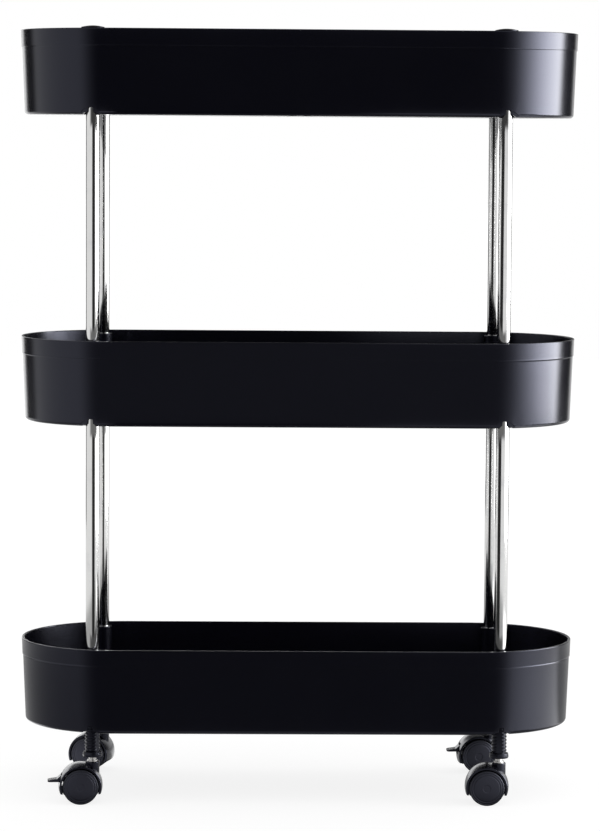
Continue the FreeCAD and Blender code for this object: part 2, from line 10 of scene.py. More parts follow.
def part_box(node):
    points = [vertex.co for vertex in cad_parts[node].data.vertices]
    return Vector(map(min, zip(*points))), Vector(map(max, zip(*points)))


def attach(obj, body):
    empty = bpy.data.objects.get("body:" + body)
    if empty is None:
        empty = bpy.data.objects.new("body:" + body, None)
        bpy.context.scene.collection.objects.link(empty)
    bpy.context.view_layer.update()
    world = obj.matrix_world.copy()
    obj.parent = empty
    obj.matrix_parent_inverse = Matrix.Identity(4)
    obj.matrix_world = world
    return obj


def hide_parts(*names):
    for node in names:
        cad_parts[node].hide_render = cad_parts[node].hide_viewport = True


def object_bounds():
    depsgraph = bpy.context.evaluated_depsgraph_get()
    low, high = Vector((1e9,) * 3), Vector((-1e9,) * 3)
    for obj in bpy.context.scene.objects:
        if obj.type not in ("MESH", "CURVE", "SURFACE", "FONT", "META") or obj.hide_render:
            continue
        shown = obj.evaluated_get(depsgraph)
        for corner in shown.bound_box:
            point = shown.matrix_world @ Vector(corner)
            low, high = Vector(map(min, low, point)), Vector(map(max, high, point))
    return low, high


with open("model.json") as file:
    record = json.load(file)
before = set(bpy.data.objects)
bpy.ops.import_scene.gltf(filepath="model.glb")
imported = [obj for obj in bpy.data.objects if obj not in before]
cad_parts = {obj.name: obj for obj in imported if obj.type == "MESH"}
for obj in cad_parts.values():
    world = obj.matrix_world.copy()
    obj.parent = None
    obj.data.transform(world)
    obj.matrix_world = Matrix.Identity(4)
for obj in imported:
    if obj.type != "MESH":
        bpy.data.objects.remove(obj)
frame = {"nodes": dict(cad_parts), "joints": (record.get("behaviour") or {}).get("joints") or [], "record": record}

# The looks of the tray trolley: the pieces that replace or dress its CAD nodes, their finishes,
# and the studio round them. Lengths are in metres.

CAD_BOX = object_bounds()
MM = 0.001
NODES = frame["nodes"]
JOINTS = {joint["name"]: joint for joint in frame["joints"]}
CORNERS = ("front_left", "front_right", "rear_left", "rear_right")
BRAKED = tuple(corner for corner in CORNERS if corner + "_brake_lever" in NODES)


# ---------------------------------------------------------------- places read from the frame

def corner_place(corner):
    """The swivel axis of a corner, on the ground."""
    x, y, _ = JOINTS[corner + "_swivel"]["pos_m"]
    return Vector((x, y, 0.0))


def axle_place(corner):
    """Turns caster coordinates into the frame: X rolls forward, Y runs along the axle, Z is up.

    Their origin is the middle of the axle.
    """
    joint = JOINTS[corner + "_left_roll"]
    across = Vector(joint["axis"])
    up = Vector((0.0, 0.0, 1.0))
    forward = across.cross(up)
    turn = Matrix((forward, across, up)).transposed().to_4x4()
    return Matrix.Translation(joint["pos_m"]) @ turn


# ---------------------------------------------------------------- surfaces worked out with numpy

def faces_of_grid(rows, columns, closed=False):
    """Corner numbers of the four-sided faces between the neighbours of a grid of points.

    On a closed grid the last column is a neighbour of the first.
    """
    last_column = columns if closed else columns - 1
    row, column = np.meshgrid(np.arange(rows - 1), np.arange(last_column), indexing="ij")
    here = row * columns + column
    beside = row * columns + (column + 1) % columns
    corners = np.stack((here, beside, beside + columns, here + columns), axis=-1)
    return corners.reshape(-1, 4)


def place_grid(x, y, z):
    """A grid of places from X, Y and Z, each given per row, per column, per place or as one number."""
    return np.stack(np.broadcast_arrays(x, y, z), axis=-1)


MERGE_DISTANCE = 0.002 * MM
EMPTY_EDGE = 0.0001 * MM
SHARP_ANGLE = math.radians(35.0)


def mesh_piece(name, surfaces, place):
    """One object from (points, faces) arrays, moved by a matrix into the frame.

    Points that meet are merged, which closes seams and poles, and the faces are turned outwards.
    """
    points = np.concatenate([surface[0].reshape(-1, 3) for surface in surfaces])
    counts = np.cumsum([0] + [surface[0].size // 3 for surface in surfaces])
    faces = np.concatenate([surface[1] + start for surface, start in zip(surfaces, counts)])
    turn = np.array(place)
    points = points @ turn[:3, :3].T + turn[:3, 3]
    mesh = bpy.data.meshes.new(name)
    mesh.from_pydata(points.tolist(), [], faces.tolist())
    work = bmesh.new()
    work.from_mesh(mesh)
    bmesh.ops.remove_doubles(work, verts=work.verts, dist=MERGE_DISTANCE)
    bmesh.ops.dissolve_degenerate(work, edges=work.edges, dist=EMPTY_EDGE)
    bmesh.ops.recalc_face_normals(work, faces=work.faces)
    work.to_mesh(mesh)
    work.free()
    mesh.shade_smooth()
    mesh.set_sharp_from_angle(angle=SHARP_ANGLE)
    piece = bpy.data.objects.new(name, mesh)
    bpy.context.scene.collection.objects.link(piece)
    return piece


def rounded(corners, steps=4):
    """A profile whose corners are arcs of a few steps each.

    Each corner is (across, along, radius). The arc's middle lies on the line that halves the
    corner, at the radius over the sine of half the corner's angle. The arc touches both straight
    runs at the radius over the tangent of that half, and is sampled evenly by angle.
    """
    profile = []
    count = len(corners)
    for number, (x, y, radius) in enumerate(corners):
        here = np.array((x, y))
        if radius == 0 or number in (0, count - 1):
            profile.append(here)
            continue
        back = np.array(corners[number - 1][:2]) - here
        ahead = np.array(corners[number + 1][:2]) - here
        back = back / np.linalg.norm(back)
        ahead = ahead / np.linalg.norm(ahead)
        half = math.acos(np.clip(back @ ahead, -1, 1)) / 2
        middle = (back + ahead) / np.linalg.norm(back + ahead)
        centre = here + middle * radius / math.sin(half)
        start = here + back * radius / math.tan(half) - centre
        end = here + ahead * radius / math.tan(half) - centre
        sweep = math.pi - 2 * half
        for share in np.linspace(0, 1, steps + 1):
            first = math.sin((1 - share) * sweep) / math.sin(sweep)
            second = math.sin(share * sweep) / math.sin(sweep)
            profile.append(centre + start * first + end * second)
    return np.array(profile)


CIRCLE_STEPS = 96


def turned(profile, segments=CIRCLE_STEPS):
    """A surface turned about Z: each (radius, height) point is carried round a full circle."""
    angle = np.linspace(0, 2 * np.pi, segments, endpoint=False)
    radius, height = profile[:, :1], profile[:, 1:]
    points = place_grid(radius * np.cos(angle), radius * np.sin(angle), height)
    return points, faces_of_grid(len(profile), segments, closed=True)


def laid_along_axle(surface, side):
    """Lays a surface turned about Z on the axle, its height pointing to one side of the caster."""
    points, faces = surface
    x, y, z = np.moveaxis(points, -1, 0)
    return place_grid(x, z * side, y * side), faces


# ---------------------------------------------------------------- shader nodes

def add_node(tree, kind, inputs=None, **settings):
    """A new node with its settings made, and each input set or linked by its name or number."""
    node = tree.nodes.new(kind)
    for name, value in settings.items():
        setattr(node, name, value)
    for name, value in (inputs or {}).items():
        if isinstance(value, bpy.types.NodeSocket):
            tree.links.new(value, node.inputs[name])
        else:
            node.inputs[name].default_value = value
    return node


def math_node(tree, operation, first, second=0.0, clamp=False):
    """The result of one operation on numbers."""
    node = add_node(tree, "ShaderNodeMath", {0: first, 1: second}, operation=operation, use_clamp=clamp)
    return node.outputs[0]


def vector_node(tree, operation, first, second=(0.0, 0.0, 0.0)):
    """The outputs of one operation on vectors: Vector, and Value where the result is a number."""
    return add_node(tree, "ShaderNodeVectorMath", {0: first, 1: second}, operation=operation).outputs


def split(tree, vector):
    """X, Y and Z of a vector."""
    return add_node(tree, "ShaderNodeSeparateXYZ", {"Vector": vector}).outputs


def upward(tree):
    """How far a surface faces up: Z of its normal, from -1 to 1."""
    normal = add_node(tree, "ShaderNodeNewGeometry").outputs["Normal"]
    return split(tree, normal)["Z"]


def spread(tree, value, low, high, to_low=0.0, to_high=1.0):
    """A value carried smoothly from one range to another and held at its ends."""
    node = add_node(
        tree,
        "ShaderNodeMapRange",
        {"Value": value, "From Min": low, "From Max": high, "To Min": to_low, "To Max": to_high},
        interpolation_type="SMOOTHSTEP",
    )
    return node.outputs["Result"]


def noise(tree, vector, scale, detail, roughness):
    """Cloudy noise from 0 to 1."""
    inputs = {"Vector": vector, "Scale": scale, "Detail": detail, "Roughness": roughness}
    return add_node(tree, "ShaderNodeTexNoise", inputs).outputs["Fac"]


MIX_FACTOR, MIX_FIRST, MIX_SECOND, MIX_RESULT = 0, 6, 7, 2    # a Mix node's sockets for colours


def blend_colours(tree, share, first, second):
    """A colour between two others."""
    inputs = {MIX_FACTOR: share, MIX_FIRST: first, MIX_SECOND: second}
    return add_node(tree, "ShaderNodeMix", inputs, data_type="RGBA").outputs[MIX_RESULT]


def add_bump(tree, height, strength, distance, base=None, invert=False):
    """The normal of a surface raised by a height, or sunk with invert, on top of a base normal."""
    inputs = {"Height": height, "Strength": strength, "Distance": distance}
    if base is not None:
        inputs["Normal"] = base
    return add_node(tree, "ShaderNodeBump", inputs, invert=invert).outputs["Normal"]


def new_group(name, inputs, outputs):
    """A shader group with named number or vector inputs and number outputs."""
    tree = bpy.data.node_groups.new(name, "ShaderNodeTree")
    for label, value in inputs.items():
        kind = "NodeSocketVector" if value is None else "NodeSocketFloat"
        socket = tree.interface.new_socket(name=label, in_out="INPUT", socket_type=kind)
        if value is not None:
            socket.default_value = value
    for label in outputs:
        tree.interface.new_socket(name=label, in_out="OUTPUT", socket_type="NodeSocketFloat")
    entry = tree.nodes.new("NodeGroupInput")
    leave = tree.nodes.new("NodeGroupOutput")
    return tree, entry.outputs, leave.inputs


def make_moulding_group():
    """Skin of moulded plastic: the height of its fine spark texture, and broad flow clouds."""
    tree, given, out = new_group(
        "moulding_skin",
        {"Vector": None, "Grain per metre": 2600.0, "Clouds per metre": 14.0},
        ("Height", "Cloud"),
    )
    grain = noise(tree, given["Vector"], given["Grain per metre"], detail=3.0, roughness=0.6)
    cloud = noise(tree, given["Vector"], given["Clouds per metre"], detail=4.0, roughness=0.55)
    tree.links.new(grain, out["Height"])
    tree.links.new(cloud, out["Cloud"])
    return tree


DUST_FACING = (0.55, 0.98)     # Z of the normal where dust begins, and where it is full
DUST_PATCH = (0.35, 0.75)      # values of the noise outside a patch of dust and in it


def make_dust_group():
    """Where dust settles: on faces that look up, in patches."""
    tree, given, out = new_group(
        "settled_dust", {"Vector": None, "Patches per metre": 60.0, "Amount": 0.5}, ("Mask",)
    )
    facing = spread(tree, upward(tree), *DUST_FACING)
    cloud = noise(tree, given["Vector"], given["Patches per metre"], detail=6.0, roughness=0.7)
    patches = spread(tree, cloud, *DUST_PATCH)
    mask = math_node(tree, "MULTIPLY", facing, patches)
    tree.links.new(math_node(tree, "MULTIPLY", mask, given["Amount"]), out["Mask"])
    return tree


EDGE_WIDTH = 0.8 * MM
EDGE_BEND = (0.98, 0.8)        # likeness of the true and the rounded normal, off an edge and on it
# EDGE_PATCH and EDGE_LEAST set how much of each edge takes wear and a painted highlight
EDGE_PATCH = (0.3, 0.7)        # values of the noise outside a rubbed patch and in it
EDGE_LEAST = 0.25              # how rubbed an edge is outside the patches


def make_edge_group():
    """Where edges are rubbed and carry a painted highlight: the rounded normal leaves the true one there, broken
    up by noise.
    """
    tree, given, out = new_group(
        "rubbed_edge_and_sheen",
        {"Vector": None, "Width": EDGE_WIDTH, "Patches per metre": 90.0, "Amount": 1.0},
        ("Mask",),
    )
    true_normal = add_node(tree, "ShaderNodeNewGeometry").outputs["Normal"]
    bevel = add_node(tree, "ShaderNodeBevel", {"Radius": given["Width"]}, samples=4)
    likeness = vector_node(tree, "DOT_PRODUCT", true_normal, bevel.outputs["Normal"])["Value"]
    edge = spread(tree, likeness, *EDGE_BEND)
    cloud = noise(tree, given["Vector"], given["Patches per metre"], detail=5.0, roughness=0.65)
    patches = spread(tree, cloud, *EDGE_PATCH, to_low=EDGE_LEAST)
    mask = math_node(tree, "MULTIPLY", edge, patches)
    tree.links.new(math_node(tree, "MULTIPLY", mask, given["Amount"]), out["Mask"])
    return tree


LINE_STRETCH = 0.004       # drawn lines vary this much slower along Z than across it


def make_drawn_group():
    """Lines that drawing leaves along a tube or rod, stretched along Z, with soft smudges."""
    tree, given, out = new_group(
        "drawn_lines",
        {"Vector": None, "Lines per metre": 1800.0, "Smudges per metre": 45.0},
        ("Height", "Smudge"),
    )
    squeezed = vector_node(tree, "MULTIPLY", given["Vector"], (1.0, 1.0, LINE_STRETCH))["Vector"]
    lines = noise(tree, squeezed, given["Lines per metre"], detail=2.0, roughness=0.7)
    smudge = noise(tree, given["Vector"], given["Smudges per metre"], detail=5.0, roughness=0.6)
    tree.links.new(lines, out["Height"])
    tree.links.new(smudge, out["Smudge"])
    return tree


def to_nearest(tree, value, pitch):
    """The distance from a value to the nearest multiple of a pitch: a triangle wave."""
    return math_node(tree, "PINGPONG", value, math_node(tree, "MULTIPLY", pitch, 0.5))


def flat_length(tree, x, y):
    """The length of the flat vector X, Y."""
    flat = add_node(tree, "ShaderNodeCombineXYZ", {"X": x, "Y": y}).outputs["Vector"]
    return vector_node(tree, "LENGTH", flat)["Value"]


PIN_SPACING = (120.0 * MM, 80.0 * MM)     # along and across the tray
PIN_RADIUS = 5.0 * MM
PIN_LINE = (0.1 * MM, 0.4 * MM)           # half the width of a ring's line, full and faded out
PIN_FACING = (0.97, 0.995)                # Z of the normal, up or down, where rings begin and are full


def make_pin_mark_group():
    """Rings that ejector pins leave on the floor of a moulding, in rows along X and Y.

    The distance to the nearest pin is the length of the distances to the nearest row along X
    and along Y, and a ring lies where it equals the pin's radius.
    """
    along, across = PIN_SPACING
    tree, given, out = new_group(
        "pin_marks", {"Vector": None, "Along": along, "Across": across, "Radius": PIN_RADIUS}, ("Ring",)
    )
    x, y, _ = split(tree, given["Vector"])
    away = flat_length(tree, to_nearest(tree, x, given["Along"]), to_nearest(tree, y, given["Across"]))
    off = math_node(tree, "ABSOLUTE", math_node(tree, "SUBTRACT", away, given["Radius"]))
    ring = spread(tree, off, *PIN_LINE, to_low=1.0, to_high=0.0)
    level = spread(tree, math_node(tree, "ABSOLUTE", upward(tree)), *PIN_FACING)
    tree.links.new(math_node(tree, "MULTIPLY", ring, level), out["Ring"])
    return tree


BAND_HEIGHT = 18.5 * MM        # the thicker band under the rim of each tray
BAND_LINE_WIDTH = 1.8 * MM
WALL_MIDDLE = 2.1 * MM         # from a tray's side to a place inside its wall, at the band's foot


def make_band_line_group():
    """The soft edge along the foot of each tray's thicker band, on the outside of the wall.

    The ridge is the square of how near a place is to the nearest line in Z. A place is outside
    where it is far from the tray's middle line, which ends where the tray's round ends begin.
    """
    low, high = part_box("bottom_tray")
    half_length, half_width = (high.x - low.x) / 2, (high.y - low.y) / 2
    sizes = {
        "Height": high.z - BAND_HEIGHT,
        "Pitch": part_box("middle_tray")[1].z - high.z,
        "Width": BAND_LINE_WIDTH,
        "Straight": half_length - half_width,
        "Reach": half_width - WALL_MIDDLE,
    }
    tree, given, out = new_group("band_line", {"Vector": None, **sizes}, ("Ridge",))
    x, y, z = split(tree, given["Vector"])
    away = to_nearest(tree, math_node(tree, "SUBTRACT", z, given["Height"]), given["Pitch"])
    near = math_node(tree, "SUBTRACT", 1.0, math_node(tree, "DIVIDE", away, given["Width"]), clamp=True)
    past = math_node(tree, "SUBTRACT", math_node(tree, "ABSOLUTE", x), given["Straight"])
    reach = flat_length(tree, math_node(tree, "MAXIMUM", past, 0.0), y)
    outside = math_node(tree, "GREATER_THAN", reach, given["Reach"])
    ridge = math_node(tree, "MULTIPLY", near, near)
    tree.links.new(math_node(tree, "MULTIPLY", ridge, outside), out["Ridge"])
    return tree


# The shared groups, by the names that place_group takes.
GROUPS = {
    "pins": make_pin_mark_group(),
    "band": make_band_line_group(),
    "moulding": make_moulding_group(),
    "dust": make_dust_group(),
    "edge": make_edge_group(),
    "drawn": make_drawn_group(),
}


def place_group(tree, name, vector, **values):
    """Places a shared group, fed with the piece's own coordinates, and gives its outputs."""
    node = add_node(tree, "ShaderNodeGroup", node_tree=GROUPS[name])
    tree.links.new(vector, node.inputs["Vector"])
    for label, value in values.items():
        node.inputs[label].default_value = value
    return node.outputs


# ---------------------------------------------------------------- finishes

BLACK = (0.0018, 0.0017, 0.0042, 1.0)
BLACK_LIGHTER = (0.0027, 0.0026, 0.0056, 1.0)
DISC_GREY = (0.0048, 0.0045, 0.0085, 1.0)
DISC_GREY_LIGHTER = (0.0075, 0.007, 0.0115, 1.0)
# black of the tread, also painted as shade in the grooves of the wheel's face
TREAD_BLACK_GROOVE_SHADE = (0.002, 0.002, 0.0028, 1.0)
DUST = (0.16, 0.155, 0.15, 1.0)
# lighter colour of the edges: wear, and a painted highlight along the rims
RUBBED_AND_SHEEN = (0.02, 0.02, 0.024, 1.0)
SHINE_TINT = (0.76, 0.79, 1.0, 1.0)
CHROME = (0.66, 0.66, 0.655, 1.0)
CHROME_SMUDGED = (0.58, 0.58, 0.585, 1.0)
PLATED = (0.62, 0.61, 0.6, 1.0)
PLATED_SMUDGED = (0.5, 0.49, 0.48, 1.0)
STEEL = (0.5, 0.5, 0.5, 1.0)
STEEL_SMUDGED = (0.4, 0.4, 0.4, 1.0)

RUBBED_AND_SHEEN_AMOUNT = 0.3
GRAIN_STRENGTH = 0.5
DUST_DULLING = 0.5         # roughness that full dust adds to plastic
CLOUD_SPAN = (0.3, 0.7)    # values of the clouds between which the roughness changes
CLOUD_GLOSS = (-0.01, 0.02)         # roughness that the clouds take away and add
PIN_MARK_DEPTH = 0.1 * MM
PIN_MARK_STRENGTH = 0.6
BAND_LINE_RISE = 0.24 * MM

METAL_DUST = 0.3
METAL_DUST_DULLING = 0.4   # roughness that full dust adds to metal
SMUDGE_SPAN = (0.45, 0.75)          # values of the noise outside a smudge and in it
SMUDGE_DULLING = 0.06
LINE_SPAN = (0.25, 0.75)   # heights of the drawn lines between which the roughness changes
LINE_GLOSS = 0.03          # roughness that the drawn lines take away and add
LINE_STRENGTH = 0.3

# the 0 in the grooves paints shade there
DISC_VALUE = "disc"        # 1 on the face of a wheel, and 0 in its grooves and on its tread


def new_material(name):
    """An empty material with a Principled BSDF, and the piece's own coordinates."""
    material = bpy.data.materials.new(name)
    material.use_nodes = True
    tree = material.node_tree
    shader = tree.nodes["Principled BSDF"]
    vector = add_node(tree, "ShaderNodeTexCoord").outputs["Object"]
    return material, tree, shader, vector


def tray_marks(tree, vector):
    """The normal of a tray: the band's soft edge stands out, and the pins' rings are sunk in."""
    ridge = place_group(tree, "band", vector)["Ridge"]
    ring = place_group(tree, "pins", vector)["Ring"]
    edge = add_bump(tree, ridge, 1.0, BAND_LINE_RISE)
    return add_bump(tree, ring, PIN_MARK_STRENGTH, PIN_MARK_DEPTH, edge, invert=True)


def moulded_plastic(name, dark, light, shine, gloss, grain, dust, marks=None):
    """Moulded plastic: clouded colour, spark texture, settled dust, and rubbed edges with a painted highlight.

    shine is the specular level, gloss the roughness of the clean skin and grain the depth of its
    texture. marks is a function that makes the normal under the texture, where there is one.
    """
    material, tree, shader, vector = new_material(name)
    skin = place_group(tree, "moulding", vector)
    settled = place_group(tree, "dust", vector, Amount=dust)["Mask"]
    # edges lighter: wear, and a painted highlight
    rubbed_and_sheen = place_group(tree, "edge", vector, Amount=RUBBED_AND_SHEEN_AMOUNT)["Mask"]
    colour = blend_colours(tree, skin["Cloud"], dark, light)
    colour = blend_colours(tree, rubbed_and_sheen, colour, RUBBED_AND_SHEEN)
    colour = blend_colours(tree, settled, colour, DUST)
    tree.links.new(colour, shader.inputs["Base Color"])
    clearer, duller = CLOUD_GLOSS
    clouded = spread(tree, skin["Cloud"], *CLOUD_SPAN, gloss + clearer, gloss + duller)
    dulled = math_node(tree, "MULTIPLY", settled, DUST_DULLING)
    roughness = math_node(tree, "ADD", clouded, dulled, clamp=True)
    tree.links.new(roughness, shader.inputs["Roughness"])
    base = marks(tree, vector) if marks else None
    normal = add_bump(tree, skin["Height"], GRAIN_STRENGTH, grain, base)
    tree.links.new(normal, shader.inputs["Normal"])
    shader.inputs["Specular IOR Level"].default_value = shine
    shader.inputs["Specular Tint"].default_value = SHINE_TINT
    return material


def wheel_plastic(name):
    """The wheels' plastic: grey where the piece's disc value is 1, and black elsewhere: black on the tread, and
    painted shade in the grooves.
    """
    material = moulded_plastic(
        name, DISC_GREY, DISC_GREY_LIGHTER, shine=0.6, gloss=0.5, grain=0.02 * MM, dust=0.04
    )
    tree = material.node_tree
    shader = tree.nodes["Principled BSDF"]
    colour = shader.inputs["Base Color"].links[0].from_socket
    disc = add_node(tree, "ShaderNodeAttribute", attribute_name=DISC_VALUE).outputs["Fac"]
    tree.links.new(blend_colours(tree, disc, TREAD_BLACK_GROOVE_SHADE, colour), shader.inputs["Base Color"])
    return material


def bright_metal(name, colour, smudged, gloss, line_depth):
    """Drawn or plated metal: fine lines along Z, and smudges that dull the shine a little."""
    material, tree, shader, vector = new_material(name)
    drawn = place_group(tree, "drawn", vector)
    settled = place_group(tree, "dust", vector, Amount=METAL_DUST)["Mask"]
    smudge = spread(tree, drawn["Smudge"], *SMUDGE_SPAN)
    tree.links.new(blend_colours(tree, smudge, colour, smudged), shader.inputs["Base Color"])
    lined = spread(tree, drawn["Height"], *LINE_SPAN, gloss - LINE_GLOSS, gloss + LINE_GLOSS)
    dulled = math_node(tree, "ADD", lined, math_node(tree, "MULTIPLY", settled, METAL_DUST_DULLING))
    dulled = math_node(tree, "ADD", dulled, math_node(tree, "MULTIPLY", smudge, SMUDGE_DULLING))
    tree.links.new(dulled, shader.inputs["Roughness"])
    normal = add_bump(tree, drawn["Height"], LINE_STRENGTH, line_depth)
    tree.links.new(normal, shader.inputs["Normal"])
    shader.inputs["Metallic"].default_value = 1.0
    return material


FINISHES = {
    "tray_plastic": moulded_plastic(
        "tray_plastic", BLACK, BLACK_LIGHTER, shine=0.39, gloss=0.2, grain=0.006 * MM, dust=0.03,
        marks=tray_marks,
    ),
    "fitting_plastic": moulded_plastic(
        "fitting_plastic", BLACK, BLACK_LIGHTER, shine=0.36, gloss=0.3, grain=0.01 * MM, dust=0.03
    ),
    "hood_plastic": moulded_plastic(
        "hood_plastic", BLACK, BLACK_LIGHTER, shine=0.42, gloss=0.2, grain=0.006 * MM, dust=0.04
    ),
    "wheel_plastic": wheel_plastic("wheel_plastic"),
    "chrome_tube": bright_metal(
        "chromed_tube", CHROME, CHROME_SMUDGED, gloss=0.1, line_depth=0.006 * MM
    ),
    "polished_steel": bright_metal(
        "plated_steel", PLATED, PLATED_SMUDGED, gloss=0.2, line_depth=0.01 * MM
    ),
    "spring_steel": bright_metal(
        "plain_steel", STEEL, STEEL_SMUDGED, gloss=0.3, line_depth=0.01 * MM
    ),
}


def finish_cad_nodes():
    """Every carried-over CAD node gets the finish of its slot."""
    for entry in frame["record"]["subparts"]:
        node = NODES[entry["node"]]
        for slot in node.material_slots:
            slot.material = FINISHES[entry["material_slot"]]


def add_piece(piece, slot, body, *nodes):
    """Gives a new piece its finish, the body it rides on and the CAD nodes that it stands for."""
    piece.data.materials.append(FINISHES[slot])
    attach(piece, body)
    if nodes:
        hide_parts(*nodes)


# ---------------------------------------------------------------- posts, caps and studs

TUBE_WALL = 0.8 * MM
TUBE_LIP = 0.25 * MM       # rounding of its edges


def make_tube(node):
    """A tube as a closed ring profile turned about its axis, with softened lips."""
    low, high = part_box(node)
    outer = (high.x - low.x) / 2
    inner = outer - TUBE_WALL
    length = high.z - low.z
    profile = rounded([
        (inner, length / 2, 0),
        (inner, 0, TUBE_LIP),
        (outer, 0, TUBE_LIP),
        (outer, length, TUBE_LIP),
        (inner, length, TUBE_LIP),
        (inner, length / 2, 0),
    ], steps=3)
    place = Matrix.Translation(((low.x + high.x) / 2, (low.y + high.y) / 2, low.z))
    add_piece(mesh_piece(node + "_tube", [turned(profile)], place), "chrome_tube", "cart", node)


PLUG_RADIUS = 6.65 * MM
PLUG_CHAMFER = 1.0 * MM
CAP_HUB = 9.8 * MM         # radius of the hub between the socket and the head
CAP_HUB_HEIGHT = 2.8 * MM
CAP_HUB_ROUND = 0.2 * MM
CAP_HEAD = 2.6 * MM        # thickness of the head over the rim
CAP_HEAD_ROUND = 0.3 * MM
CAP_EDGE = 0.9 * MM        # height of the head's upright edge
CAP_GROOVE = 9.6 * MM      # radius of the fine ring round the crown
CAP_GROOVE_WIDTH = 0.35 * MM
CAP_GROOVE_DEPTH = 0.16 * MM
CAP_STEPS = 60


def crown(radius, edge_height, rise, steps):
    """The profile of a crown from its edge in to its middle, where it is higher by the rise.

    The height grows by the rise times one less the square of the radius's share of the whole.
    """
    share = np.linspace(1, 0, steps)
    return np.stack((radius * share, edge_height + rise * (1 - share ** 2)), axis=-1)


def bell(value, middle, width):
    """1 at the middle and near 0 two widths away: e to the minus square of the widths between."""
    return np.exp(-((value - middle) / width) ** 2)


def make_cap(corner):
    """Post cap: plug, hub and head as one turned profile, with a fine ring round its crown.

    The ring is a dip in the crown's height, shaped as a bell about the ring's radius.
    """
    node = corner + "_post_cap"
    low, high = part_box(node)
    head = (high.x - low.x) / 2
    height = high.z - low.z
    under = height - CAP_HEAD
    stem = rounded([
        (0, 0, 0),
        (PLUG_RADIUS - PLUG_CHAMFER, 0, 0),
        (PLUG_RADIUS, PLUG_CHAMFER, 0),
        (PLUG_RADIUS, under - CAP_HUB_HEIGHT, 0),
        (CAP_HUB, under - CAP_HUB_HEIGHT, CAP_HUB_ROUND),
        (CAP_HUB, under, 0),
        (head, under, CAP_HEAD_ROUND),
        (head, under + CAP_EDGE, 0),
    ])
    top = crown(head, under + CAP_EDGE, CAP_HEAD - CAP_EDGE, steps=CAP_STEPS)
    top[:, 1] -= CAP_GROOVE_DEPTH * bell(top[:, 0], CAP_GROOVE, CAP_GROOVE_WIDTH)
    place = Matrix.Translation(corner_place(corner) + Vector((0, 0, low.z)))
    surface = turned(np.concatenate((stem, top[1:])))
    add_piece(mesh_piece(corner + "_cap", [surface], place), "fitting_plastic", "cart", node)


THREAD_RADIUS = 8.3 * MM
THREAD_DEPTH = 0.9 * MM
THREAD_PITCH = 3.75 * MM
THREAD_WAVE = 0.95         # height of the sine in crests; what passes half a crest is cut off
THREAD_STEPS = 12          # rows of points in each turn
THREAD_FADE = 2.0 * MM
THREAD_TOP = 56.9 * MM     # upper end of the thread above the collar
COLLAR = (10.5 * MM, 5.4 * MM)      # radius and height
COLLAR_STEP = 0.35 * MM    # how far the upper ring of the collar is set in
COLLAR_STEP_ROUND = 0.15 * MM
COLLAR_LOWER_RING = 3.3 * MM        # height of the lower ring
COLLAR_RING_ROUND = 0.3 * MM
COLLAR_FOOT_ROUND = 1.0 * MM
COLLAR_TOP_ROUND = 0.5 * MM
STEM_BORE = (4.06 * MM, 38.0 * MM)  # radius and depth
STEM_BORE_ROUND = 0.3 * MM
FLAT = 6.95 * MM           # from the axis of the stud to each moulded flat
SMALLEST_SINE = 1e-3
STUD_TURN = {"front_left": 55.0, "front_right": 0.0, "rear_left": 20.0, "rear_right": 75.0}  # degrees


def threaded_shank(low, high):
    """Screw thread with two flats, as radius over angle and height.

    The crest is a sine of the turns that the height makes in the pitch, less the angle, with its
    tops and bottoms cut off. It fades in and out at the ends. The flats then hold the radius
    below their distance divided by the sine of the angle.
    """
    rows = int((high - low) / THREAD_PITCH * THREAD_STEPS)
    height = np.linspace(low, high, rows)[:, None]
    angle = np.linspace(0, 2 * np.pi, CIRCLE_STEPS, endpoint=False)[None, :]
    phase = 2 * np.pi * height / THREAD_PITCH - angle
    wave = np.clip(0.5 + THREAD_WAVE * np.sin(phase), 0, 1)
    fade = np.clip(np.minimum(height - low, high - height) / THREAD_FADE, 0, 1)
    radius = THREAD_RADIUS - THREAD_DEPTH * (1 - wave * fade)
    radius = np.minimum(radius, FLAT / np.maximum(np.abs(np.sin(angle)), SMALLEST_SINE))
    points = place_grid(radius * np.cos(angle), radius * np.sin(angle), height)
    return points, faces_of_grid(rows, CIRCLE_STEPS, closed=True)


def stacked(*surfaces):
    """Joins grids of the same number of columns into one, row after row."""
    points = np.concatenate([surface[0] for surface in surfaces])
    return points, faces_of_grid(points.shape[0], points.shape[1], closed=True)


def make_stud(corner):
    """Threaded stud: stem bore, collar, screw thread and tube plug as one closed surface."""
    node = corner + "_threaded_stud"
    low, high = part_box(node)
    height = high.z - low.z
    bore, depth = STEM_BORE
    collar, collar_top = COLLAR
    root = THREAD_RADIUS - THREAD_DEPTH
    foot = rounded([
        (0, depth, 0),
        (bore, depth, 0),
        (bore, 0, STEM_BORE_ROUND),
        (collar, 0, COLLAR_FOOT_ROUND),
        (collar, COLLAR_LOWER_RING, COLLAR_RING_ROUND),
        (collar - COLLAR_STEP, COLLAR_LOWER_RING + COLLAR_STEP, COLLAR_STEP_ROUND),
        (collar - COLLAR_STEP, collar_top, COLLAR_TOP_ROUND),
        (root, collar_top, 0),
    ])
    thread_end = collar_top + THREAD_TOP
    plug = np.array([
        (PLUG_RADIUS, thread_end),
        (PLUG_RADIUS, height - PLUG_CHAMFER),
        (PLUG_RADIUS - PLUG_CHAMFER, height),
        (0, height),
    ])
    shank = threaded_shank(collar_top, thread_end)
    surface = stacked(turned(foot), shank, turned(plug))
    turn = Matrix.Rotation(math.radians(STUD_TURN[corner]), 4, "Z")
    place = Matrix.Translation(corner_place(corner) + Vector((0, 0, low.z))) @ turn
    add_piece(mesh_piece(corner + "_stud", [surface], place), "fitting_plastic", "cart", node)


# ---------------------------------------------------------------- casters

